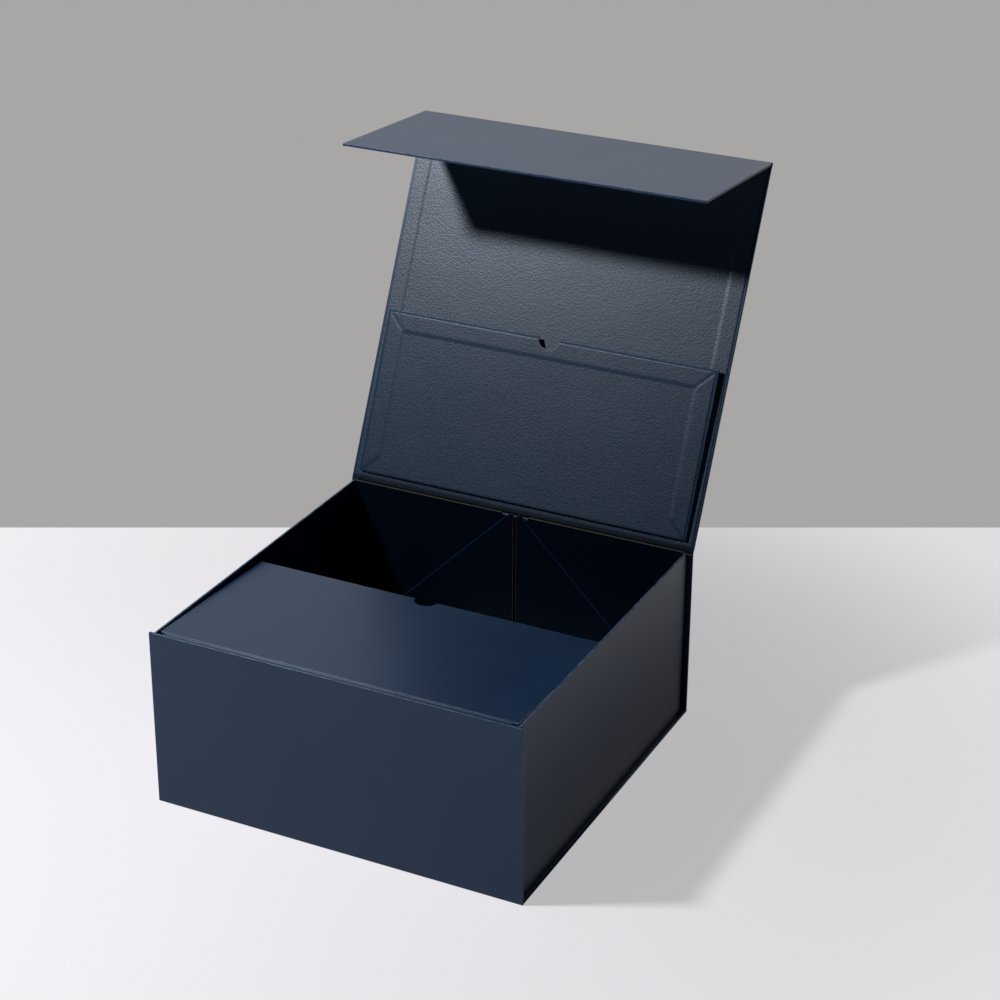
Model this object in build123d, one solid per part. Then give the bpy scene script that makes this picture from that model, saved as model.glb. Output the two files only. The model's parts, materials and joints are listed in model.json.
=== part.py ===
from build123d import *
import math
import os

# Folding gift box with a lid, a magnetic front flap and two closing flaps.
# Millimetres. X runs to the right, Y to the back, Z up. The origin is the middle of the
# base, on the table. The box stands open, as it is used: lid leaning back, magnetic flap
# folded forward, rear closing flap up in front of the lid, front closing flap shut.

# Overall sizes
tray_width = 330.0
case_overhang = 4.0
case_depth = 335.3
wall_top = 160.0

# Board and paper
case_core = 1.9
tray_thickness = 2.0
paper = 0.2
turn_in = 18.5
liner_inset = 2.5
liner_step = 0.1

# Clearances
seat_gap = 0.4
panel_foot = 0.5
corner_gap = 5.5
glue_gap = 0.3
crease_gap = 1.0
seam = 3.0
gusset_inner = 13.0
flap_side_gap = 1.5
flap_rest_gap = 0.3
flush_drop = 0.2

# Lid, measured from its hinge axis
lid_lean = 25.5
lid_reach = 337.1
fold_gap = 2.0
lid_rest_gap = 0.8
lid_axis_inset = 0.3
lid_hinge_rise = 4.8
lid_strip_inset = 0.5

# Magnetic flap at the far end of the lid
magnet_flap_fold = 68.7
magnet_flap_reach = 149.6

# Rear closing flap, which shares the lid's hinge axis
rear_flap_lean = 24.2
rear_flap_length = 150.1
rear_edge_gap = 0.5

# Front closing flap, which dips a little into the tray when it is shut
front_flap_length = 154.0
front_flap_dip = 2.3
front_axis_drop = 2.7
front_hinge_gap = 4.6

# Thumb notch in the free edge of both closing flaps
notch_radius = 10.4

# Hinge papers
strip_gap = 0.2
fold_strip_reach = 1.5
fold_strip_end_gap = 0.4
rear_strip_start = 2.6
rear_strip_end_gap = 0.3
rear_strip_thickness = 0.4
rear_strip_gap = 0.05
front_strip_inset = 9.0
front_strip_flat = 4.6
front_strip_dip = 1.4
front_strip_end_gap = 0.6
wall_strip_width = 10.0

# Magnets
magnet_radius = 7.5
magnet_thickness = 1.5
magnet_spacing = 190.0
magnet_edge = 22.0

# Worked out from the sizes above
case_width = tray_width + 2 * case_overhang
case_thickness = case_core + 2 * paper
half_case = case_width / 2
half_tray = tray_width / 2
inner_half = half_tray - tray_thickness
front_face = -case_depth / 2
back_face = case_depth / 2
front_inner = front_face + case_thickness
back_inner = back_face - case_thickness
anchor_front = back_inner - case_thickness
tray_front = front_inner + tray_thickness
tray_back = anchor_front - tray_thickness
wall_bottom = case_thickness + seat_gap
flap_half = inner_half - flap_side_gap
closed_top = wall_top - flush_drop
front_wall_top = closed_top - case_thickness - paper - flap_rest_gap
over = 1.0

# The lid turns about an axis just above the tray. The back panel stops lower down, and the
# hinge paper stands free between the two.
lid_axis_y = back_face - lid_axis_inset
lid_axis_z = wall_top + lid_rest_gap
back_panel_top = lid_axis_z - lid_hinge_rise

# The closing flaps turn down level with the tops of the side walls.
rear_inner_level = lid_axis_z - closed_top + case_thickness
rear_start = lid_axis_y - (tray_back - rear_edge_gap)
front_axis_z = wall_top - front_axis_drop
front_axis_y = front_face + (closed_top - front_axis_z)


def leaning_plane(origin, degrees_back):
    """A plane whose length leans back from the vertical and whose inner face looks forward."""
    angle = math.radians(degrees_back)
    return Plane(origin=origin, x_dir=(1, 0, 0), z_dir=(0, -math.cos(angle), math.sin(angle)))


base_plane = Plane(origin=(0, 0, case_thickness), x_dir=(1, 0, 0), z_dir=(0, 0, 1))
front_plane = Plane(origin=(0, front_inner, 0), x_dir=(-1, 0, 0), z_dir=(0, 1, 0))
back_plane = leaning_plane((0, back_inner, 0), 0)
lid_plane = leaning_plane((0, lid_axis_y, lid_axis_z), lid_lean)
magnet_plane = leaning_plane(lid_plane.origin + lid_plane.y_dir * lid_reach, lid_lean + magnet_flap_fold - 180)
lid_edge = lid_plane.origin + lid_plane.y_dir * (lid_reach - fold_gap)
fold_plane = leaning_plane(lid_edge, lid_lean + magnet_flap_fold / 2 - 90)
fold_length = 2 * fold_gap * math.sin(math.radians(magnet_flap_fold / 2))
rear_plane = leaning_plane((0, lid_axis_y, lid_axis_z), rear_flap_lean)
dip = math.radians(front_flap_dip)
front_flap_way = (0, -math.sin(dip), -math.cos(dip))
front_flap_plane = Plane(origin=(0, front_axis_y, front_axis_z), x_dir=(-1, 0, 0), z_dir=front_flap_way)


def slab(plane, x_range, v_range, n_range):
    """A flat piece on a plane: x across, v along its length, n towards its inner face."""
    spans = (x_range, v_range, n_range)
    size = [high - low for low, high in spans]
    corner = [low for low, high in spans]
    return plane * Pos(*corner) * Box(*size, align=(Align.MIN, Align.MIN, Align.MIN))


def disc(plane, x, v, n_range, radius):
    """A round piece that stands on a plane from n_range[0] to n_range[1]."""
    base = (Align.CENTER, Align.CENTER, Align.MIN)
    return plane * Pos(x, v, n_range[0]) * Cylinder(radius, n_range[1] - n_range[0], align=base)


def ribbon(points, half_width, thickness=paper):
    """A paper strip that runs across the box and follows points given as (y, z)."""
    outline = trace(Polyline(*points), line_width=thickness)
    return extrude(Plane.YZ * outline, amount=half_width, both=True)


def save(name, shape):
    """Write one piece, with its name, as one file."""
    shape.label = name
    export_step(shape, f"parts/{name}.step")


def magnet_pair(plane, v):
    """The two magnets of one panel, sunk from its inner face under the turned-in paper."""
    n_range = (-paper - magnet_thickness, -paper)
    return [disc(plane, x, v, n_range, magnet_radius) for x in (-magnet_spacing / 2, magnet_spacing / 2)]


def side_wrapped(plane, start, end):
    """A case panel's board, and the paper round its outer face and both side edges."""
    across = (paper - half_case, half_case - paper)
    board = slab(plane, across, (start, end), (paper - case_thickness, -paper))
    wrap = slab(plane, (-half_case, half_case), (start, end), (-case_thickness, 0))
    hollow = slab(plane, across, (start - over, end + over), (paper - case_thickness, -paper))
    inner = half_case - turn_in
    window = slab(plane, (-inner, inner), (start - over, end + over), (-2 * paper, over))
    return board, wrap - hollow - window


def flap_wrapped(plane, half, start, end, level=0.0):
    """A flap's board and its paper, turned in at both sides and at the free end."""
    outer = level - case_thickness
    core = (outer + paper, level - paper)
    across = (paper - half, half - paper)
    board = slab(plane, across, (start, end - paper), core)
    wrap = slab(plane, (-half, half), (start, end), (outer, level))
    hollow = slab(plane, across, (start - over, end - paper), core)
    inner = half - turn_in
    window = slab(plane, (-inner, inner), (start - over, end - turn_in), (level - 2 * paper, level + over))
    return board, wrap - hollow - window


def lining(plane, half, start, end, field_end, level=0.0):
    """The lining sheet: it steps up where it lies over the turned-in paper at the edges."""
    inner = half - turn_in
    edge = half - liner_inset
    raised = slab(plane, (-edge, edge), (start, end), (level, level + paper))
    step = slab(plane, (-inner, inner), (start - over, field_end), (level - over, level + over))
    low = level + paper - liner_step
    field = slab(plane, (-inner, inner), (start, min(field_end, end)), (level - paper, low))
    return (raised - step) + field


def write_base():
    """The base board, its paper, its lining and the papers that hinge walls and panels."""
    y_range = (front_inner + seat_gap, back_inner - seat_gap)
    across = (-half_case, half_case)
    save("base_cover", slab(base_plane, across, y_range, (-case_thickness, paper - case_thickness)))
    save("base_board", slab(base_plane, across, y_range, (paper - case_thickness, -paper)))
    strip_inner = half_tray - wall_strip_width
    liner_half = strip_inner - strip_gap
    liner_y = (tray_front + liner_inset, tray_back - liner_inset)
    save("base_liner", slab(base_plane, (-liner_half, liner_half), liner_y, (-paper, 0)))
    for side_name, side in (("left", -1), ("right", 1)):
        edges = sorted((side * strip_inner, side * half_tray))
        save(f"{side_name}_wall_hinge_strip", slab(base_plane, edges, liner_y, (-paper, 0)))
    on_table = (-case_thickness, paper - case_thickness)
    save("front_base_hinge_strip", slab(base_plane, across, (front_face, y_range[0]), on_table))
    save("back_base_hinge_strip", slab(base_plane, across, (y_range[1], back_face), on_table))


def write_front_panel():
    """The front panel with its magnets, and the paper that hinges the front closing flap."""
    board, cover = side_wrapped(front_plane, panel_foot, wall_top)
    magnets = magnet_pair(front_plane, lid_axis_z - magnet_flap_reach + magnet_edge)
    for magnet in magnets:
        board = board - magnet
    save("front_panel_board", board)
    save("front_panel_cover", cover)
    save("front_panel_magnets", Compound(children=magnets))
    level = wall_top + paper / 2
    flap_edge = front_axis_y + front_hinge_gap
    path = [
        (front_face, level),
        (front_face + front_strip_flat, level),
        (flap_edge - front_strip_end_gap, level - front_strip_dip),
    ]
    save("front_flap_hinge_strip", ribbon(path, half_tray - front_strip_inset))


def write_back_panel():
    """The back panel and, glued inside it, the board that anchors the rear closing flap."""
    board, cover = side_wrapped(back_plane, panel_foot, back_panel_top)
    save("back_panel_board", board)
    save("back_panel_cover", cover)
    anchor = slab(back_plane, (-flap_half, flap_half), (wall_bottom, back_panel_top), (0, case_thickness))
    save("rear_flap_anchor_board", anchor)


def crease_side(side, sheet, shift, outer):
    """The part of a half wall on one side of its 45 degree crease, with shift as the gap."""
    reach = 3 * (tray_width + wall_top)
    along = shift + reach / 2 if outer else -shift - reach / 2
    turned = Pos(side * inner_half, 0, wall_bottom) * Rotation(0, side * 45, 0)
    return sheet & (turned * Pos(0, 0, along) * Box(reach, reach, reach))


def write_end_walls(end_name, face_y, towards, top):
    """The fixed boards glued to an end panel, and the gussets hinged to them on the crease."""
    for side_name, side in (("left", -1), ("right", 1)):
        upright = Plane(origin=(0, face_y, 0), x_dir=(-towards, 0, 0), z_dir=(0, towards, 0))
        away = -towards * side
        fixed_span = sorted((away * seam / 2, away * half_tray))
        gusset_span = sorted((away * gusset_inner, away * half_tray))
        fixed = slab(upright, fixed_span, (wall_bottom, top), (0, tray_thickness))
        gusset = slab(upright, gusset_span, (wall_bottom, top), (glue_gap, tray_thickness))
        save(f"{end_name}_{side_name}_fixed_board", crease_side(side, fixed, crease_gap / 2, False))
        save(f"{end_name}_{side_name}_gusset", crease_side(side, gusset, crease_gap / 2, True))


def write_side_walls():
    """The side walls: a board, and one paper over its outer face, top edge and inner face."""
    y_range = (tray_front + corner_gap, tray_back - corner_gap)
    for side_name, side in (("left", -1), ("right", 1)):
        upright = Plane(origin=(side * half_tray, 0, 0), x_dir=(0, -side, 0), z_dir=(-side, 0, 0))
        span = sorted((-side * y_range[0], -side * y_range[1]))
        core = (paper, tray_thickness - paper)
        board = slab(upright, span, (wall_bottom, wall_top - paper), core)
        wrap = slab(upright, span, (wall_bottom, wall_top), (0, tray_thickness))
        longer = (span[0] - over, span[1] + over)
        hollow = slab(upright, longer, (wall_bottom - over, wall_top - paper), core)
        save(f"{side_name}_wall_board", board)
        save(f"{side_name}_wall_cover", wrap - hollow)


def write_lid():
    """The lid, and the paper that hinges it to the back panel."""
    start = fold_gap
    end = lid_reach - fold_gap
    board, cover = side_wrapped(lid_plane, start, end)
    save("lid_board", board)
    save("lid_cover", cover)
    save("lid_liner", lining(lid_plane, half_case, start + liner_inset, end - liner_inset, lid_reach))
    tip = lid_plane.origin + lid_plane.y_dir * fold_strip_reach
    foot = (back_face - lid_strip_inset, back_panel_top + strip_gap)
    path = [foot, (lid_axis_y, lid_axis_z), (tip.Y, tip.Z)]
    save("lid_hinge_strip", ribbon(path, half_case))


def write_magnet_flap():
    """The flap that holds the lid shut, its magnets and the paper between its two creases."""
    board, cover = flap_wrapped(magnet_plane, half_case, fold_gap, magnet_flap_reach)
    magnets = magnet_pair(magnet_plane, magnet_flap_reach - magnet_edge)
    for magnet in magnets:
        board = board - magnet
    save("magnet_flap_board", board)
    save("magnet_flap_cover", cover)
    field_end = magnet_flap_reach - turn_in
    liner_end = magnet_flap_reach - liner_inset
    liner = lining(magnet_plane, half_case, fold_gap + liner_inset, liner_end, field_end)
    save("magnet_flap_liner", liner)
    save("magnet_flap_magnets", Compound(children=magnets))
    v_range = (fold_strip_end_gap, fold_length - fold_strip_end_gap)
    save("magnet_flap_hinge_strip", slab(fold_plane, (-half_case, half_case), v_range, (-paper, 0)))


def write_closing_flap(name, plane, start, end, level):
    """One of the two flaps that shut the tray, with a thumb notch in its free edge."""
    board, cover = flap_wrapped(plane, flap_half, start, end, level)
    liner = lining(plane, flap_half, start + liner_inset, end - liner_inset, end - turn_in, level)
    notch = disc(plane, 0, end, (level - case_thickness - over, level + over), notch_radius)
    save(f"{name}_board", board - notch)
    save(f"{name}_cover", cover - notch)
    save(f"{name}_liner", liner - notch)


def write_rear_flap_hinge():
    """The hinge paper of the rear closing flap, on the lid's lining at the foot of the flap."""
    low = paper + rear_strip_gap
    v_range = (rear_strip_start, rear_start - rear_strip_end_gap)
    strip = slab(lid_plane, (-flap_half, flap_half), v_range, (low, low + rear_strip_thickness))
    save("rear_flap_hinge_strip", strip)


os.makedirs("parts", exist_ok=True)
write_base()
write_front_panel()
write_back_panel()
write_end_walls("front", front_inner, 1, front_wall_top)
write_end_walls("back", anchor_front, -1, wall_top)
write_side_walls()
write_lid()
write_magnet_flap()
write_closing_flap("rear_flap", rear_plane, rear_start, rear_start + rear_flap_length, rear_inner_level)
write_rear_flap_hinge()
write_closing_flap("front_flap", front_flap_plane, front_hinge_gap, front_hinge_gap + front_flap_length, -paper)
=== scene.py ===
import json
import math

import bmesh
import bpy
from mathutils import Matrix, Vector


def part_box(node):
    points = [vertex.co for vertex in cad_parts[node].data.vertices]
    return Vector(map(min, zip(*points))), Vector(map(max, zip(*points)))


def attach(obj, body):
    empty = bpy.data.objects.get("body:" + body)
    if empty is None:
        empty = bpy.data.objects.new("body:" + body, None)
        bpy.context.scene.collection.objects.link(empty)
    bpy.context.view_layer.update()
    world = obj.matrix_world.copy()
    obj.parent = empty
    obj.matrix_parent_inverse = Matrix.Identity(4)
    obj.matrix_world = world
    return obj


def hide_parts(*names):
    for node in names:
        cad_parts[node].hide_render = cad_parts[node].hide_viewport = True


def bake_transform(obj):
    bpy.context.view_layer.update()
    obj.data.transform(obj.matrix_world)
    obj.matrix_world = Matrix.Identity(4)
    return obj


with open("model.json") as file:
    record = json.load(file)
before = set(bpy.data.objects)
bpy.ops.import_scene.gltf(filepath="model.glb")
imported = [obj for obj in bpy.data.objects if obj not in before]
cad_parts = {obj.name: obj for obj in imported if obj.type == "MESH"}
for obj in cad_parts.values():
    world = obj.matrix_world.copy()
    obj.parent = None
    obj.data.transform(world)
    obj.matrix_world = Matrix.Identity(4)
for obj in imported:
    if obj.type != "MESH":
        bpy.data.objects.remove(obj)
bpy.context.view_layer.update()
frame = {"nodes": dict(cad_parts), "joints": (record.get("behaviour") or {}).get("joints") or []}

# Sizes in millimetres, as on the object. Meshes are in metres.
MM = 0.001
half_case = 169.0
half_tray = 165.0
inner_half = 163.0
half_flap = 161.5
board = 2.3
tray_wall = 2.0
lid_lean = 25.5
magnet_fold = 68.7
rear_lean = 24.2
front_dip = 2.3
notch = 10.4
edge_radius = 0.55
paper_thickness = 0.2
paper_middle = paper_thickness / 2
lining_thickness = 0.18
lining_inset = 2.5
lining_gap = 0.3
lining_lift = 0.02
case_turn_in = 17.5
flap_turn_in = 18.5
panel_start = 0.6
raw_radius = 0.1

scene = bpy.context.scene
hinge = {j["name"]: Vector(j["pos_m"]) / MM for j in frame["joints"]}


# Node trees


class Signal:
    """One socket of a node tree. Arithmetic on signals adds Math nodes to the tree."""

    def __init__(self, tree, socket):
        self.tree = tree
        self.socket = socket

    def math(self, operation, *others):
        return self.tree.node("ShaderNodeMath", {"operation": operation}, [self, *others])

    def __add__(self, other):
        return self.math("ADD", other)

    __radd__ = __add__

    def __sub__(self, other):
        return self.math("SUBTRACT", other)

    def __rsub__(self, other):
        return self.tree.node("ShaderNodeMath", {"operation": "SUBTRACT"}, [other, self])

    def __mul__(self, other):
        return self.math("MULTIPLY", other)

    __rmul__ = __mul__

    def __truediv__(self, other):
        return self.math("DIVIDE", other)

    def __abs__(self):
        return self.math("ABSOLUTE")

    def most(self, other):
        return self.math("MAXIMUM", other)

    def rise(self, low, high):
        """0 below low, 1 above high and a smooth rise between them."""
        settings = {"interpolation_type": "SMOOTHSTEP"}
        return self.tree.node("ShaderNodeMapRange", settings, {0: self, 1: low, 2: high})


class Tree:
    """A node tree that is filled by one method."""

    def __init__(self, node_tree):
        self.nodes = node_tree.nodes
        self.links = node_tree.links

    def node(self, kind, settings=None, inputs=None, output=0):
        """Adds a node: settings first, then the values or links of its sockets. Returns one output."""
        made = self.nodes.new(kind)
        for name, value in (settings or {}).items():
            setattr(made, name, value)
        pairs = inputs.items() if isinstance(inputs, dict) else enumerate(inputs or [])
        for key, value in pairs:
            socket = made.inputs[key]
            if isinstance(value, Signal):
                self.links.new(value.socket, socket)
            else:
                socket.default_value = value
        return None if output is None else Signal(self, made.outputs[output])

    def mix(self, share, first, second):
        """A colour between two colours."""
        settings = {"data_type": "RGBA"}
        return self.node("ShaderNodeMix", settings, {0: share, 6: first, 7: second}, 2)


class Recipe(Tree):
    """A material: a Principled surface whose colour, roughness and bumps come from patterns."""

    def __init__(self, name):
        self.material = bpy.data.materials.new(name)
        self.material.use_nodes = True
        self.material.node_tree.nodes.clear()
        super().__init__(self.material.node_tree)
        self.place = self.node("ShaderNodeTexCoord", output="Object")

    def noise(self, scale, detail=2.0, roughness=0.5, distortion=0.0, place=None):
        """A cloud pattern with that many features to the metre."""
        sockets = {"Vector": place or self.place, "Scale": scale, "Detail": detail}
        sockets.update({"Roughness": roughness, "Distortion": distortion})
        return self.node("ShaderNodeTexNoise", None, sockets)

    def cells(self, scale, place, smoothness=0.5):
        """A pebbled pattern: low in the middle of each cell and high between cells."""
        settings = {"feature": "SMOOTH_F1"}
        sockets = {"Vector": place, "Scale": scale, "Smoothness": smoothness}
        return self.node("ShaderNodeTexVoronoi", settings, sockets)

    def bump(self, height, distance, strength=1.0, under=None):
        """A normal from a height between 0 and 1 that stands for that distance in metres."""
        sockets = {"Strength": strength, "Distance": distance, "Height": height}
        if under:
            sockets["Normal"] = under
        return self.node("ShaderNodeBump", None, sockets)

    def surface(self, colour, roughness, normal=None, **fixed):
        """Ends the material in a Principled surface."""
        sockets = {"Base Color": colour, "Roughness": roughness}
        if normal:
            sockets["Normal"] = normal
        sockets.update(fixed)
        shader = self.node("ShaderNodeBsdfPrincipled", None, sockets)
        self.node("ShaderNodeOutputMaterial", None, {"Surface": shader}, None)
        return self.material


# Materials

blue_sheen = (0.72, 0.87, 1.0, 1.0)


def colour(red, green, blue, share=1.0):
    """A written sRGB colour, 0 to 255, as Blender's linear colour."""
    linear = [((c / 255 + 0.055) / 1.055) ** 2.4 if c > 10 else c / 255 / 12.92 for c in (red, green, blue)]
    return (*[c * share for c in linear], 1.0)


def wrapping_paper(name, deep, plain, fibres):
    """Smooth paper with a satin face, a fine tooth and the slight waves of glued paper."""
    paper = Recipe(name)
    waves = paper.noise(11.0, 2.0)
    tooth = paper.noise(1500.0, 4.0, 0.6)
    fibre = paper.noise(420.0, 5.0, 0.65, 0.6)
    tone = paper.mix(waves.rise(0.3, 0.7), deep, plain)
    tone = paper.mix(fibre.rise(0.5, 0.8) * 0.15, tone, fibres)
    # Rounded edges get patches of a pale blue: a painted highlight where the rounded paper edges catch the
    # light.
    edge = paper.node("ShaderNodeAttribute", {"attribute_name": "edge"}, output="Fac")
    painted_edge_highlight = edge * paper.noise(160.0, 3.0).rise(0.25, 0.7)
    tone = paper.mix(painted_edge_highlight * 0.6, tone, colour(92, 116, 142))
    shine = 0.35 + (fibre - 0.5) * 0.08 + (waves - 0.5) * 0.05
    relief = paper.bump(waves, 0.0004)
    relief = paper.bump(tooth * 0.7 + fibre * 0.3, 0.00002, 1.0, relief)
    sheen = {"Specular Tint": blue_sheen, "Specular IOR Level": 0.44}
    return paper.surface(tone, shine, relief, **sheen)


def lining_paper():
    """Navy lining paper embossed with a fine leather grain."""
    paper = Recipe("navy grained lining paper")
    sockets = {"Vector": paper.place, "Scale": 260.0, "Detail": 2.0}
    bend = paper.node("ShaderNodeTexNoise", None, sockets, "Color")
    settings = {"operation": "MULTIPLY_ADD"}
    place = paper.node("ShaderNodeVectorMath", settings, [bend, (0.0022, 0.0022, 0.0022), paper.place])
    pebble = paper.cells(520.0, place, 0.35)
    crease = paper.cells(1100.0, place, 0.4)
    waves = paper.noise(9.0, 2.0)
    grain = pebble.rise(0.1, 0.75) * 0.75 + crease.rise(0.1, 0.8) * 0.25
    tone = paper.mix(waves.rise(0.3, 0.7), colour(8, 33, 56), colour(10, 36, 60))
    tone = paper.mix(grain * 0.3, tone, colour(4, 22, 42))
    shine = 0.34 + grain * 0.10 + (waves - 0.5) * 0.05
    relief = paper.bump(waves, 0.0006)
    relief = paper.bump(1 - grain, 0.00006, 1.0, relief)
    sheen = {"Specular Tint": (0.82, 0.91, 1.0, 1.0), "Specular IOR Level": 0.56}
    return paper.surface(tone, shine, relief, **sheen)


def raw_greyboard(name, share):
    """The cut edge of recycled greyboard: brown-grey fibres with dark flecks."""
    pulp = Recipe(name)
    fibre = pulp.noise(700.0, 6.0, 0.7, 1.0)
    fleck = pulp.noise(1600.0, 2.0)
    # share scales all its colours; below 1 it paints shade.
    tone = pulp.mix(fibre.rise(0.3, 0.7), colour(120, 98, 78, share), colour(164, 142, 116, share))
    tone = pulp.mix(fleck.rise(0.62, 0.7) * 0.6, tone, colour(78, 66, 56, share))
    return pulp.surface(tone, 0.85 + (fibre - 0.5) * 0.1, pulp.bump(fibre, 0.0002))


def magnet_metal():
    """Nickel-plated magnets with faint scuffs."""
    metal = Recipe("nickel plate")
    scuff = metal.noise(500.0, 4.0)
    tone = metal.mix(scuff.rise(0.4, 0.8), colour(196, 196, 192), colour(160, 160, 158))
    return metal.surface(tone, 0.28 + scuff * 0.18, metal.bump(scuff, 0.00002), Metallic=1.0)


navy = wrapping_paper("navy wrapping paper", colour(1, 32, 62), colour(3, 35, 66), colour(16, 50, 82))
# A darker copy of the navy wrapping paper, for the tray's end walls. On the lid hinge's inner paper it is
# painted shade.
darkened_navy = wrapping_paper("darkened navy paper", colour(1, 8, 22), colour(2, 10, 25), colour(8, 20, 38))
grained = lining_paper()
pulp = raw_greyboard("raw greyboard", 1.0)
# The raw greyboard at 22 percent of its brightness: painted shade on the cut edges inside the tray.
shaded_pulp = raw_greyboard("greyboard with painted shade", 0.22)
nickel = magnet_metal()


# Planes of the panels


class Panel:
    """A panel's plane: x across, v along it from its hinge and n towards its inner face."""

    def __init__(self, origin, along, inward):
        self.origin = Vector(origin)
        self.along = Vector(along)
        self.inward = Vector(inward)
        self.across = self.along.cross(self.inward)

    def at(self, x, v, n):
        return (self.origin + self.across * x + self.along * v + self.inward * n) * MM


def leaning(origin, degrees_back):
    """A panel that leans back from the vertical, with its inner face looking forward."""
    angle = math.radians(degrees_back)
    along = (0, math.sin(angle), math.cos(angle))
    return Panel(origin, along, (0, -math.cos(angle), math.sin(angle)))


floor_panel = Panel((0, 0, 0), (0, 1, 0), (0, 0, 1))
front_low, front_high = (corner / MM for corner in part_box("front_panel_board"))
back_low, back_high = (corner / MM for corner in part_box("back_panel_board"))
front_face, front_inner = front_low.y - paper_thickness, front_high.y + paper_thickness
back_face, back_inner = back_high.y + paper_thickness, back_low.y - paper_thickness
front_panel = Panel((0, front_inner, 0), (0, 0, 1), (0, 1, 0))
back_panel = Panel((0, back_inner, 0), (0, 0, 1), (0, -1, 0))
lid = leaning(hinge["lid_hinge"], lid_lean)
magnet_flap = leaning(hinge["magnet_flap_fold"], lid_lean + magnet_fold - 180)
rear_flap = leaning(hinge["rear_flap_hinge"], rear_lean)
dip = math.radians(front_dip)
front_along = (0, math.cos(dip), -math.sin(dip))
front_flap = Panel(hinge["front_flap_hinge"], front_along, (0, -math.sin(dip), -math.cos(dip)))


def reach(panel, node):
    """How far a node reaches along a panel and across its thickness, in millimetres."""
    points = [vertex.co / MM - panel.origin for vertex in frame["nodes"][node].data.vertices]
    along = [point.dot(panel.along) for point in points]
    inward = [point.dot(panel.inward) for point in points]
    return (min(along), max(along)), (min(inward), max(inward))


# Meshes


def piece_from(name, mesh, material):
    made = bpy.data.objects.new(name, mesh)
    mesh.materials.append(material)
    scene.collection.objects.link(made)
    return made


def settle(piece):
    """Turns a piece and its modifiers into a plain mesh."""
    piece.modifiers.new("even", "WEIGHTED_NORMAL").weight = 100
    bpy.context.view_layer.update()
    shape = piece.evaluated_get(bpy.context.evaluated_depsgraph_get())
    plain = bpy.data.meshes.new_from_object(shape)
    piece.modifiers.clear()
    piece.data = plain
    return piece


def grown(piece, group, values):
    """The mesh that a node group makes of a piece, with the named inputs set to these values."""
    maker = piece.modifiers.new("form", "NODES")
    maker.node_group = group
    for item in group.interface.items_tree:
        if item.in_out == "INPUT" and item.name in values:
            maker[item.identifier] = values[item.name]
    bpy.context.view_layer.update()
    shape = piece.evaluated_get(bpy.context.evaluated_depsgraph_get())
    mesh = bpy.data.meshes.new_from_object(shape)
    piece.modifiers.clear()
    return mesh


def thickened(piece, thickness):
    """A sheet made as thick as its paper, half to each side."""
    backing = piece.modifiers.new("thickness", "SOLIDIFY")
    backing.thickness = thickness * MM
    backing.offset = 0.0
    return settle(piece)


def wrapped_slab(name, panel, outline, low, high, material=navy, square=(), radius=edge_radius):
    """A board in its paper: outline is (x, v) points, and sides in square keep sharp edges."""
    shape = bmesh.new()
    lower = [shape.verts.new(panel.at(x, v, low)) for x, v in outline]
    upper = [shape.verts.new(panel.at(x, v, high)) for x, v in outline]
    count = len(outline)
    shape.faces.new(list(reversed(lower)))
    shape.faces.new(upper)
    for i in range(count):
        k = (i + 1) % count
        shape.faces.new((lower[i], lower[k], upper[k], upper[i]))
    bmesh.ops.recalc_face_normals(shape, faces=shape.faces)
    soft = [i for i in range(count) if i not in square]
    rims = [shape.edges.get((ring[i], ring[(i + 1) % count])) for ring in (lower, upper) for i in soft]
    turns = [i for i in soft if (i - 1) % count in soft]
    corners = [shape.edges.get((lower[i], upper[i])) for i in turns]
    bmesh.ops.bevel(
        shape, geom=rims + corners, offset=radius * MM, segments=4, profile=0.5,
        affect="EDGES", clamp_overlap=True,
    )
    broad_area = 4e-4
    broad = {face for face in shape.faces if len(face.verts) > 4 or face.calc_area() > broad_area}
    mesh = bpy.data.meshes.new(name)
    shape.verts.index_update()
    # Marks the rounded edges, which the wrapping paper lightens as a painted highlight.
    marks = [0.0 if broad & set(vertex.link_faces) else 1.0 for vertex in shape.verts]
    shape.to_mesh(mesh)
    shape.free()
    mesh.attributes.new("edge", "FLOAT", "POINT").data.foreach_set("value", marks)
    mesh.shade_smooth()
    return settle(piece_from(name, mesh, material))


def rectangle(half, start, end):
    """Sides 0 to 3 are the start, the right side, the end and the left side."""
    return [(-half, start), (half, start), (half, end), (-half, end)]


def notched(half, start, end, radius):
    """A flap's outline with a thumb notch in its free end, and the sides of the notch."""
    steps = 28
    turns = [math.pi * i / steps for i in range(steps + 1)]
    arc = [(radius * math.cos(turn), end - radius * math.sin(turn)) for turn in turns]
    outline = [(-half, start), (half, start), (half, end), *arc, (-half, end)]
    return outline, tuple(range(3, 3 + steps))


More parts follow.
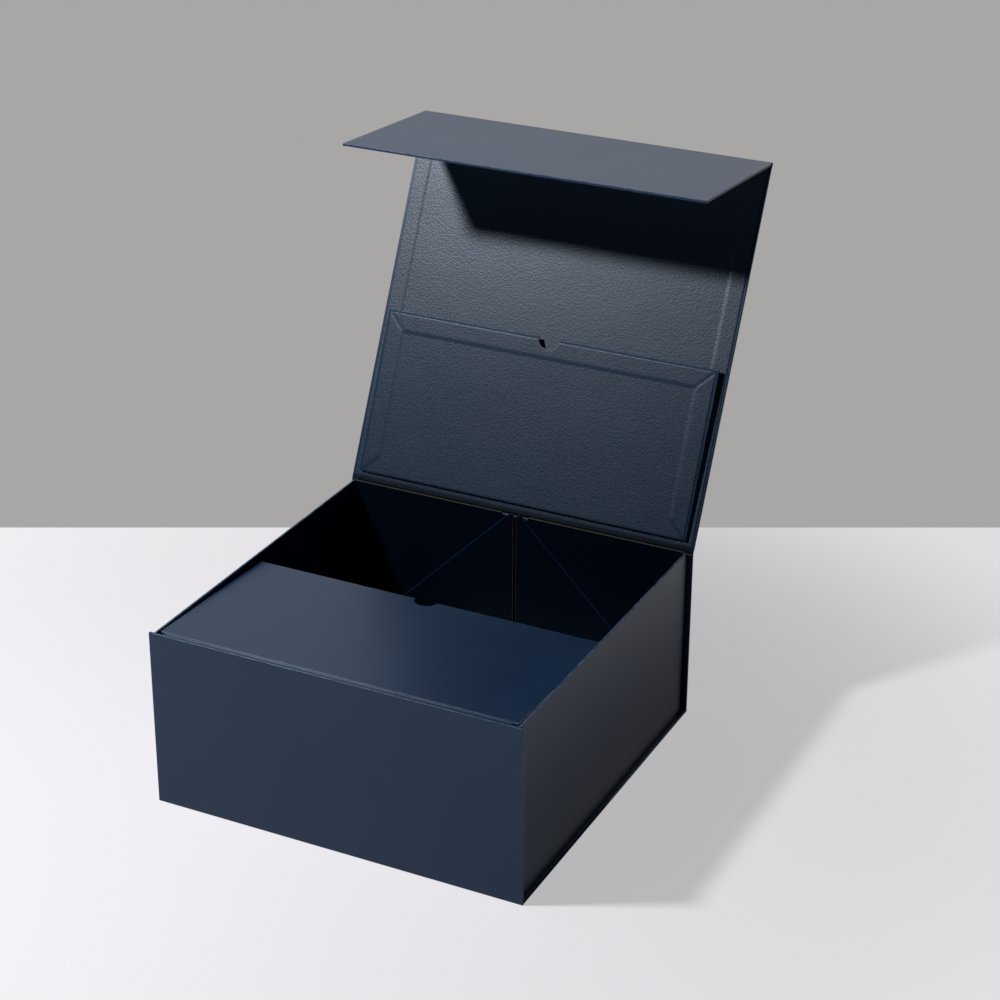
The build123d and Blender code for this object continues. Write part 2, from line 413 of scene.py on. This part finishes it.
def sheet_tree():
    """Lining paper over turned-in edges: it rises over the bands and dips along their mitres."""
    group = bpy.data.node_groups.new("lining over turned-in paper", "GeometryNodeTree")
    sockets = {"Half Width": 160.0, "Length": 300.0, "Turn In": 18.5, "End Turn In": 0.0, "Foot Mitre": 0.0}
    sockets.update({"Margin": 2.5, "Step": 0.42, "Slope": 1.3, "Spacing": 1.5})
    for name, value in sockets.items():
        group.interface.new_socket(name, in_out="INPUT", socket_type="NodeSocketFloat").default_value = value
    group.interface.new_socket("Paper", in_out="INPUT", socket_type="NodeSocketMaterial")
    group.interface.new_socket("Sheet", in_out="OUTPUT", socket_type="NodeSocketGeometry")
    tree = Tree(group)
    given = tree.nodes.new("NodeGroupInput")
    value = {name: Signal(tree, given.outputs[name]) for name in sockets}
    width, length = value["Half Width"] * 2, value["Length"]
    grid = tree.node(
        "GeometryNodeMeshGrid",
        None,
        {
            "Size X": width * MM,
            "Size Y": length * MM,
            "Vertices X": (width / value["Spacing"]).math("CEIL"),
            "Vertices Y": (length / value["Spacing"]).math("CEIL"),
        },
    )
    place = tree.node("GeometryNodeInputPosition")
    x, y = (tree.node("ShaderNodeSeparateXYZ", None, [place], axis) / MM for axis in (0, 1))
    side = value["Half Width"] - abs(x) + value["Margin"]
    end = length / 2 - y + value["Margin"]
    foot = length / 2 + y + value["Margin"]
    slope = value["Slope"]
    side_band = 1 - side.rise(value["Turn In"] - slope, value["Turn In"])
    cut = (foot - side).rise(0.0, slope)
    side_band = side_band * (1 - value["Foot Mitre"] * (1 - cut))
    end_band = 1 - end.rise(value["End Turn In"] - slope, value["End Turn In"])
    has_end = value["End Turn In"].rise(0.0, 1.0)
    end_band = end_band * has_end
    seam = (1 - abs(side - end).rise(0.0, slope)) * side_band * end_band
    height = (side_band.most(end_band) - seam * 0.9) * value["Step"]
    offset = tree.node("ShaderNodeCombineXYZ", None, {2: height * MM})
    moved = tree.node("GeometryNodeSetPosition", None, {"Geometry": grid, "Offset": offset})
    whole = tree.node("GeometryNodeRealizeInstances", None, {"Geometry": moved})
    paper = Signal(tree, given.outputs["Paper"])
    painted = tree.node("GeometryNodeSetMaterial", None, {"Geometry": whole, "Material": paper})
    tree.node("NodeGroupOutput", None, {"Sheet": painted}, None)
    return group


lining_sheet = sheet_tree()


def cut_notch(sheet, centre, radius):
    """Opens a sheet's grid round a thumb notch and draws the rim of the hole on to its circle."""
    def away(vertex):
        return vertex.co.xy - centre

    gone = [face for face in sheet.faces if any(away(vertex).length < radius for vertex in face.verts)]
    rim = {vertex for face in gone for vertex in face.verts if away(vertex).length >= radius}
    end = max(vertex.co.y for vertex in sheet.verts)
    touching = 1e-6
    bmesh.ops.delete(sheet, geom=gone, context="FACES")
    for vertex in rim:
        if not vertex.is_valid:
            continue
        way = away(vertex)
        if end - vertex.co.y < touching:
            vertex.co.x = math.copysign(math.sqrt(radius**2 - way.y**2), way.x)
        else:
            vertex.co.xy = centre + way.normalized() * radius


def lining(name, panel, half, start, end, level, notch_at=None, **sizes):
    """A lining sheet on a panel's inner face, with a thumb notch centred at that v if it is given."""
    made = piece_from(name, bpy.data.meshes.new(name), grained)
    values = {"Half Width": half, "Length": end - start, "Paper": grained}
    values.update({key.replace("_", " ").title(): size for key, size in sizes.items()})
    mesh = grown(made, lining_sheet, values)
    sheet = bmesh.new()
    sheet.from_mesh(mesh)
    middle = (start + end) / 2
    if notch_at is not None:
        cut_notch(sheet, Vector((0, notch_at - middle)) * MM, notch * MM)
    for vertex in sheet.verts:
        x, v, n = vertex.co / MM
        vertex.co = panel.at(x, v + middle, level + n)
    bmesh.ops.recalc_face_normals(sheet, faces=sheet.faces)
    if sum(face.normal.dot(panel.inward) for face in sheet.faces) < 0:
        bmesh.ops.reverse_faces(sheet, faces=sheet.faces)
    sheet.to_mesh(mesh)
    sheet.free()
    mesh.shade_smooth()
    made.data = mesh
    return thickened(made, lining_thickness)


def fold_tree():
    """Paper that follows a path seen from the side: each bend is rounded, then it runs across."""
    group = bpy.data.node_groups.new("folded paper", "GeometryNodeTree")
    face = group.interface
    face.new_socket("Path", in_out="INPUT", socket_type="NodeSocketGeometry")
    for name, value in {"Half Width": 160.0, "Bend": 1.0, "Steps": 5.0}.items():
        face.new_socket(name, in_out="INPUT", socket_type="NodeSocketFloat").default_value = value
    face.new_socket("Paper", in_out="INPUT", socket_type="NodeSocketMaterial")
    face.new_socket("Sheet", in_out="OUTPUT", socket_type="NodeSocketGeometry")
    tree = Tree(group)
    given = tree.nodes.new("NodeGroupInput")
    path, half, bend, steps, paper = (Signal(tree, given.outputs[i]) for i in range(5))
    curve = tree.node("GeometryNodeMeshToCurve", None, {"Mesh": path})
    sockets = {"Curve": curve, "Radius": bend * MM, "Limit Radius": True, "Count": steps}
    rounded = tree.node("GeometryNodeFilletCurve", {"mode": "POLY"}, sockets)
    line = tree.node("GeometryNodeCurveToMesh", None, {"Curve": rounded})
    shift = tree.node("ShaderNodeCombineXYZ", None, {0: half * (-1 * MM)})
    start = tree.node("GeometryNodeSetPosition", None, {"Geometry": line, "Offset": shift})
    run = tree.node("ShaderNodeCombineXYZ", None, {0: half * (2 * MM)})
    sockets = {"Mesh": start, "Offset": run, "Offset Scale": 1.0}
    swept = tree.node("GeometryNodeExtrudeMesh", {"mode": "EDGES"}, sockets)
    whole = tree.node("GeometryNodeRealizeInstances", None, {"Geometry": swept})
    painted = tree.node("GeometryNodeSetMaterial", None, {"Geometry": whole, "Material": paper})
    tree.node("NodeGroupOutput", None, {"Sheet": painted}, None)
    return group


folded_paper = fold_tree()


def fold(name, points, half, bend=1.0, material=navy, steps=6):
    """Hinge paper that runs across the box along a path of points (y, z) in millimetres."""
    mesh = bpy.data.meshes.new(name)
    ends = [Vector((0, y, z)) * MM for y, z in points]
    mesh.from_pydata(ends, [(i, i + 1) for i in range(len(ends) - 1)], [])
    made = piece_from(name, mesh, material)
    values = {"Half Width": float(half), "Bend": float(bend), "Steps": float(steps), "Paper": material}
    made.data = grown(made, folded_paper, values)
    made.data.shade_smooth()
    return thickened(made, paper_thickness)


def carry(piece, body, *nodes, slot="cover_paper"):
    """The piece rides on a body and stands for these CAD nodes."""
    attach(piece, body)
    if nodes:
        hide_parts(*nodes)
    return piece


def bridge(piece, first, second, start, end, *nodes, slot="cover_paper"):
    """The piece is baked in place and hides these CAD nodes. The bodies first and second and the points
    start and end, (y, z) in millimetres, are not used.
    """
    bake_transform(piece)
    if nodes:
        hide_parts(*nodes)
    return piece


# Base


base_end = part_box("base_board")[1].y / MM
tray_low, tray_high = (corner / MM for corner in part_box("right_wall_cover"))
anchor_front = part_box("rear_flap_anchor_board")[0].y / MM
tray_front, tray_back = front_inner + tray_wall, anchor_front - tray_wall
wall_foot, wall_top = tray_low.z, tray_high.z

outline = rectangle(half_case, -base_end, base_end)
slab = wrapped_slab("base_panel", floor_panel, outline, 0.0, board, square=(0, 2))
carry(slab, "base", "base_board", "base_cover")
floor_thickness = 0.15
outline = rectangle(inner_half, tray_front, tray_back)
slab = wrapped_slab("tray_floor", floor_panel, outline, board, board + floor_thickness, grained, radius=0.05)
carry(slab, "base", "base_liner", slot="lining_paper")

# The papers round the feet of the end panels run down the outer face and under the base.
foot_top, foot_reach, foot_bend = 1.2, 1.6, 0.9
for end_name, face, inward in (("front", front_face, 1), ("back", back_face, -1)):
    outer_y = face + inward * paper_middle
    under_y = outer_y + (-inward * base_end - face)
    path = [(outer_y, foot_top), (outer_y, paper_middle), (under_y, paper_middle)]
    foot = fold(f"{end_name}_foot_paper", path, half_case - paper_middle, foot_bend)
    places = (face + inward * foot_reach, 0), (face, panel_start)
    bridge(foot, "base", f"{end_name}_panel", *places, f"{end_name}_base_hinge_strip")


# Front panel and back panel


outline = rectangle(half_case, panel_start, wall_top)
slab = wrapped_slab("front_panel_wrap", front_panel, outline, -board, 0.0, square=(0,))
carry(slab, "front_panel", "front_panel_cover", "front_panel_board")
back_top = back_high.z
outline = rectangle(half_case, panel_start, back_top)
slab = wrapped_slab("back_panel_wrap", back_panel, outline, -board, 0.0, square=(0, 2))
carry(slab, "back_panel", "back_panel_cover", "back_panel_board")


# Tray


wall_tuck, wall_radius = 1.9, 0.6
for side_name, side in (("left", -1), ("right", 1)):
    wall = Panel((side * half_tray, (tray_front + tray_back) / 2, 0), (0, 0, 1), (-side, 0, 0))
    half_wall = (tray_back - tray_front) / 2 + wall_tuck
    outline = rectangle(half_wall, wall_foot, wall_top)
    slab = wrapped_slab(f"{side_name}_wall_wrap", wall, outline, 0.0, tray_wall, radius=wall_radius)
    carry(slab, f"{side_name}_wall", f"{side_name}_wall_cover")


# Lid and magnetic flap


def point(panel, v, n):
    """A point of a panel as (y, z) in millimetres."""
    place = panel.at(0, v, n) / MM
    return place.y, place.z


def halfway(first, second):
    return (first[0] + second[0]) / 2, (first[1] + second[1]) / 2


outside, inside = paper_middle - board, paper_middle
half_lining = half_case - lining_inset
(lid_start, lid_end), _ = reach(lid, "lid_board")
slab = wrapped_slab("lid_wrap", lid, rectangle(half_case, lid_start, lid_end), -board, 0.0, square=(0, 2))
carry(slab, "lid", "lid_cover", "lid_board")
sheet = lining(
    "lid_lining", lid, half_lining, lid_start + lining_gap, lid_end - lining_gap, lining_lift,
    turn_in=case_turn_in,
)
carry(sheet, "lid", "lid_liner", slot="lining_paper")

(flap_start, flap_end), _ = reach(magnet_flap, "magnet_flap_cover")
outline = rectangle(half_case, flap_start, flap_end)
slab = wrapped_slab("magnet_flap_wrap", magnet_flap, outline, -board, 0.0, square=(0,))
carry(slab, "magnet_flap", "magnet_flap_cover", "magnet_flap_board")
sheet = lining(
    "magnet_flap_lining", magnet_flap, half_lining, flap_start + lining_gap, flap_end - lining_inset,
    lining_lift, turn_in=case_turn_in, end_turn_in=flap_turn_in,
)
carry(sheet, "magnet_flap", "magnet_flap_liner", slot="lining_paper")

# The paper bent over the fold is in two halves, one for each crease of the fold.
bulge, crease_bend = 5.0, 0.6
lid_corner = point(lid, lid_end + bulge, outside)
flap_corner = point(magnet_flap, flap_start - bulge, outside)
crown = halfway(lid_corner, flap_corner)
lid_foot, flap_foot = point(lid, lid_end, outside), point(magnet_flap, flap_start, outside)
half_fold = fold("lid_edge_paper", [lid_foot, lid_corner, crown], half_case - paper_middle, crease_bend)
bridge(half_fold, "lid", "magnet_flap_hinge", lid_foot, crown, "magnet_flap_hinge_strip")
path = [crown, flap_corner, flap_foot]
half_fold = fold("magnet_flap_edge_paper", path, half_case - paper_middle, crease_bend)
bridge(half_fold, "magnet_flap_hinge", "magnet_flap", crown, flap_foot)

overlap, dent, hollow_bend = 0.4, 0.8, 0.5
lid_foot, flap_foot = point(lid, lid_end - overlap, inside), point(magnet_flap, flap_start + overlap, inside)
lid_corner, flap_corner = point(lid, lid_end + dent, inside), point(magnet_flap, flap_start - dent, inside)
hollow = halfway(lid_corner, flap_corner)
half_fold = fold("lid_edge_lining", [lid_foot, lid_corner, hollow], half_lining, hollow_bend, grained)
bridge(half_fold, "lid", "magnet_flap_hinge", lid_foot, hollow, slot="lining_paper")
path = [hollow, flap_corner, flap_foot]
half_fold = fold("magnet_flap_edge_lining", path, half_lining, hollow_bend, grained)
bridge(half_fold, "magnet_flap_hinge", "magnet_flap", hollow, flap_foot, slot="lining_paper")


# Lid hinge


# Both papers are paths of points, up the back panel and over to the lid.
hinge_foot = (back_face - paper_middle, back_top)
lid_foot = point(lid, lid_start, outside)
outer = fold(
    "lid_hinge_paper",
    [hinge_foot, (back_face, back_top + 2.6), point(lid, -0.6, -1.6), lid_foot],
    half_case - paper_middle, 2.0,
)
bridge(outer, "back_panel", "lid", (back_face, back_top + 2.0), lid_foot, "lid_hinge_strip")
# The inner hinge paper is in the darkened navy paper: painted shade in the recess under the rear flap.
inner = fold(
    "lid_hinge_lining",
    [(anchor_front + 0.4, back_top + 0.15), (back_face - 1.6, back_top + 0.5),
     (back_face - 0.9, back_top + 3.6), point(lid, 3.0, 0.2)],
    half_case - 0.3, 1.0, darkened_navy,
)
places = (back_face - 1.0, back_top + 2.6), point(lid, 2.0, 0.2)
bridge(inner, "back_panel", "lid", *places, slot="lining_paper")


# Closing flaps


notch_gap = 0.1


def closing_flap(name, panel, lead, sheet_gap, radius, square):
    """A wrapped flap with a thumb notch and its lining; lead is how far the wrap starts early."""
    (start, end), (outer, level) = reach(panel, f"{name}_cover")
    outline, arc = notched(half_flap, start - lead, end, notch + notch_gap)
    sides = (*square, *arc)
    slab = wrapped_slab(f"{name}_wrap", panel, outline, outer, level, square=sides, radius=radius)
    carry(slab, name, f"{name}_cover")
    sheet = lining(
        f"{name}_lining", panel, half_flap - lining_inset, start + sheet_gap, end - lining_inset,
        level + lining_lift, notch_at=end, turn_in=flap_turn_in, end_turn_in=flap_turn_in, foot_mitre=1.0,
    )
    carry(sheet, name, f"{name}_liner", slot="lining_paper")
    return start, outer


rear_start, _ = closing_flap("rear_flap", rear_flap, 0.0, 0.4, edge_radius, (0,))
# The paper lies flat on the lid as far as the flap, clear of the tray's back wall when shut.
tail = fold(
    "rear_flap_hinge_paper",
    [point(lid, 2.2, 0.2), point(lid, rear_start - 0.1, 0.22), point(rear_flap, rear_start + 0.3, 1.3)],
    half_flap - 1.0, 0.25, grained,
)
places = point(lid, 2.6, 0.2), point(lid, 4.0, 0.2)
bridge(tail, "lid", "rear_flap", *places, "rear_flap_hinge_strip", slot="lining_paper")

front_start, front_outer = closing_flap("front_flap", front_flap, 0.6, 2.0, 0.8, ())
rim_y, rim_z = point(front_flap, front_start, front_outer)
tail = fold(
    "front_flap_hinge_paper",
    [
        (front_face + 0.5, wall_top + 0.1),
        (front_face + 3.6, wall_top + 0.1),
        (rim_y - 1.6, wall_top - 2.2),
        (rim_y - 0.4, rim_z + 0.1),
        (rim_y + 1.6, rim_z + 0.08),
    ],
    156.0, 0.9,
)
places = (front_face + 3.6, wall_top), (rim_y, rim_z)
bridge(tail, "front_panel", "front_flap", *places, "front_flap_hinge_strip")


# Creases and raw edges of the tray's end walls


def crease_paper(name, side, inner_face, towards, top):
    """The paper along a 45 degree crease: a low rib, baked in place."""
    crease = Vector((side * inner_half, inner_face, wall_foot))
    run = Vector((-side, 0, 1)).normalized()
    away = Vector((side, 0, 1)).normalized()
    start_gap, end_gap, half_blend = 2.0, 3.0, 0.5
    length = math.sqrt(2) * (top - wall_foot) - end_gap
    shape = bmesh.new()
    profile = [(-0.9, 0.0), (-0.4, 0.3), (0.4, 0.3), (0.9, 0.0)]
    rows = []
    for v in (start_gap, length):
        row = [crease + run * v + away * a + Vector((0, towards * n, 0)) for a, n in profile]
        rows.append([shape.verts.new(corner * MM) for corner in row])
    for i in range(len(profile)):
        k = (i + 1) % len(profile)
        shape.faces.new((rows[0][i], rows[0][k], rows[1][k], rows[1][i]))
    shape.faces.new(rows[0])
    shape.faces.new(list(reversed(rows[1])))
    bmesh.ops.recalc_face_normals(shape, faces=shape.faces)
    mesh = bpy.data.meshes.new(name)
    shape.to_mesh(mesh)
    shape.free()
    piece = settle(piece_from(name, mesh, navy))
    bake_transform(piece)


seam_middle, seam_half, seam_drop, seam_depth, seam_proud = 1.5, 0.18, 1, 1.9, 0.05
rim_middle, rim_half, rim_drop, rim_rise, rim_depth = 88.0, 74.5, 0.3, 0.15, 1.6

for end_name, inner_face, towards in (("back", tray_back, -1), ("front", tray_front, 1)):
    end_wall_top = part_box(f"{end_name}_left_gusset")[1].z / MM
    for side_name, side in (("left", -1), ("right", 1)):
        gusset = f"{end_name}_{side_name}_gusset"
        name = f"{end_name}_{side_name}_crease_paper"
        crease_paper(name, side, inner_face, towards, end_wall_top)
        upright = Panel((side * seam_middle, inner_face, 0), (0, 0, 1), (0, towards, 0))
        strip = rectangle(seam_half, wall_foot, end_wall_top - seam_drop)
        name = f"{end_name}_{side_name}_seam_edge"
        # The cut edge at the seam is greyboard darkened as painted shade.
        raw = wrapped_slab(name, upright, strip, -seam_depth, seam_proud, shaded_pulp, radius=raw_radius)
        carry(raw, f"{end_name}_panel", slot="board")
        upright = Panel((side * rim_middle, inner_face, 0), (0, 0, 1), (0, towards, 0))
        strip = rectangle(rim_half, end_wall_top - rim_drop, end_wall_top + rim_rise)
        name = f"{end_name}_{side_name}_top_edge"
        # The cut edge along the top is greyboard darkened as painted shade.
        raw = wrapped_slab(name, upright, strip, -rim_depth, 0.0, shaded_pulp, radius=raw_radius)
        carry(raw, gusset, slot="board")


# Pieces of the frame that show as they are


for name, node in frame["nodes"].items():
    node.data.materials.clear()
    if name.endswith("_magnets"):
        node.data.materials.append(nickel)
    elif name.endswith(("_fixed_board", "_gusset", "_strip", "_anchor_board")):
        node.data.materials.append(darkened_navy)
    else:
        node.data.materials.append(pulp)


# Floor, light and camera


view_away = Vector((-0.45353, 0.89124, 0.0))
table_depth = 0.4437
near_paleness = 0.48
near_mirrored = 0.16
open_near, open_far = 0.05, 0.5
open_paleness, open_mirrored, wall_mirrored = 0.27, 0.7, 0.5
soft_light = 0.04


def seen_rays(tree):
    """What is seen directly, and what is seen mirrored or through glass, as two signals of 0 or 1."""
    ways = ["Is Camera Ray", "Is Glossy Ray", "Is Transmission Ray"]
    direct, mirrored, through = (tree.node("ShaderNodeLightPath", output=way) for way in ways)
    return direct, (mirrored + through).math("MINIMUM", 1.0) * (1 - direct)


def table_top():
    """A white table that keeps the shadow; behind its far edge it shows the grey of the wall."""
    top = Recipe("table top and wall")
    x, y = (top.node("ShaderNodeSeparateXYZ", None, [top.place], axis) for axis in (0, 1))
    far = (x * view_away.x + y * view_away.y).rise(table_depth, table_depth + 0.001)
    grain = top.noise(300.0, 3.0)
    white = top.mix(grain, colour(250, 248, 253), colour(254, 252, 255))
    grey = top.mix(grain, colour(167, 166, 164), colour(169, 168, 166))
    tone = top.mix(far, white, grey)
    matt = top.node("ShaderNodeBsdfDiffuse", None, {"Color": tone})
    pale = top.node("ShaderNodeEmission", None, {"Color": tone, "Strength": 1.0})
    direct, mirrored = seen_rays(top)
    open_air = (x * x + y * y).rise(open_near, open_far)
    pale_share = (near_paleness + open_air * open_paleness).most(far)
    mirrored_share = (near_mirrored + open_air * open_mirrored).most(far * wall_mirrored)
    share = direct * pale_share + mirrored * mirrored_share
    both = top.node("ShaderNodeMixShader", None, {0: share, 1: matt, 2: pale})
    top.node("ShaderNodeOutputMaterial", None, {"Surface": both}, None)
    return top.material


ground = bpy.data.meshes.new("table")
half_table = 30.0
corners = [(x, y, 0) for x, y in rectangle(half_table, -half_table, half_table)]
ground.from_pydata(corners, [], [(0, 1, 2, 3)])
table = piece_from("table", ground, table_top())


def lamp(name, place, target, watts, width, height):
    """A soft rectangular lamp that looks at a point."""
    data = bpy.data.lights.new(name, "AREA")
    data.shape = "RECTANGLE"
    data.size, data.size_y = width, height
    data.energy = watts
    made = bpy.data.objects.new(name, data)
    made.location = place
    made.rotation_euler = (Vector(target) - Vector(place)).to_track_quat("-Z", "Y").to_euler()
    scene.collection.objects.link(made)


lamp("key", (-0.67, -0.60, 1.24), (0, 0, 0.1), 17.0, 0.12, 0.12)

world = bpy.data.worlds.new("studio")
scene.world = world
world.use_nodes = True
world.node_tree.nodes.clear()
air = Tree(world.node_tree)
place = air.node("ShaderNodeTexCoord", output="Generated")
away = air.node("ShaderNodeVectorMath", {"operation": "DOT_PRODUCT"}, [place, tuple(view_away)], "Value")
direct, mirrored = seen_rays(air)
room = air.mix(away.rise(0.0, 0.6), colour(4, 5, 8), colour(222, 226, 236))
seen = air.mix(direct, room, colour(168, 167, 165))
soft = air.node("ShaderNodeBackground", None, {"Color": (1.0, 1.0, 1.0, 1.0), "Strength": soft_light})
plain = air.node("ShaderNodeBackground", None, {"Color": seen, "Strength": 1.0})
both = air.node("ShaderNodeMixShader", None, {0: direct + mirrored, 1: soft, 2: plain})
air.node("ShaderNodeOutputWorld", None, {"Surface": both}, None)

camera_data = bpy.data.cameras.new("camera")
camera = bpy.data.objects.new("camera", camera_data)
scene.collection.objects.link(camera)
camera_data.sensor_width = 36.0
camera_data.lens = 88.78
camera_data.clip_start, camera_data.clip_end = 0.05, 60.0
camera_place = (0.8604, -1.61375, 1.1187)
right = Vector((0.89583448, 0.44435918, 0.00504963))
down = Vector((0.19585879, -0.38460323, -0.90206413))
ahead = Vector((-0.39889838, 0.80908916, -0.43157249))
turn = Matrix((right, -down, -ahead)).transposed().to_4x4()
camera.matrix_world = Matrix.Translation(camera_place) @ turn
scene.camera = camera
scene.view_settings.view_transform = "Standard"
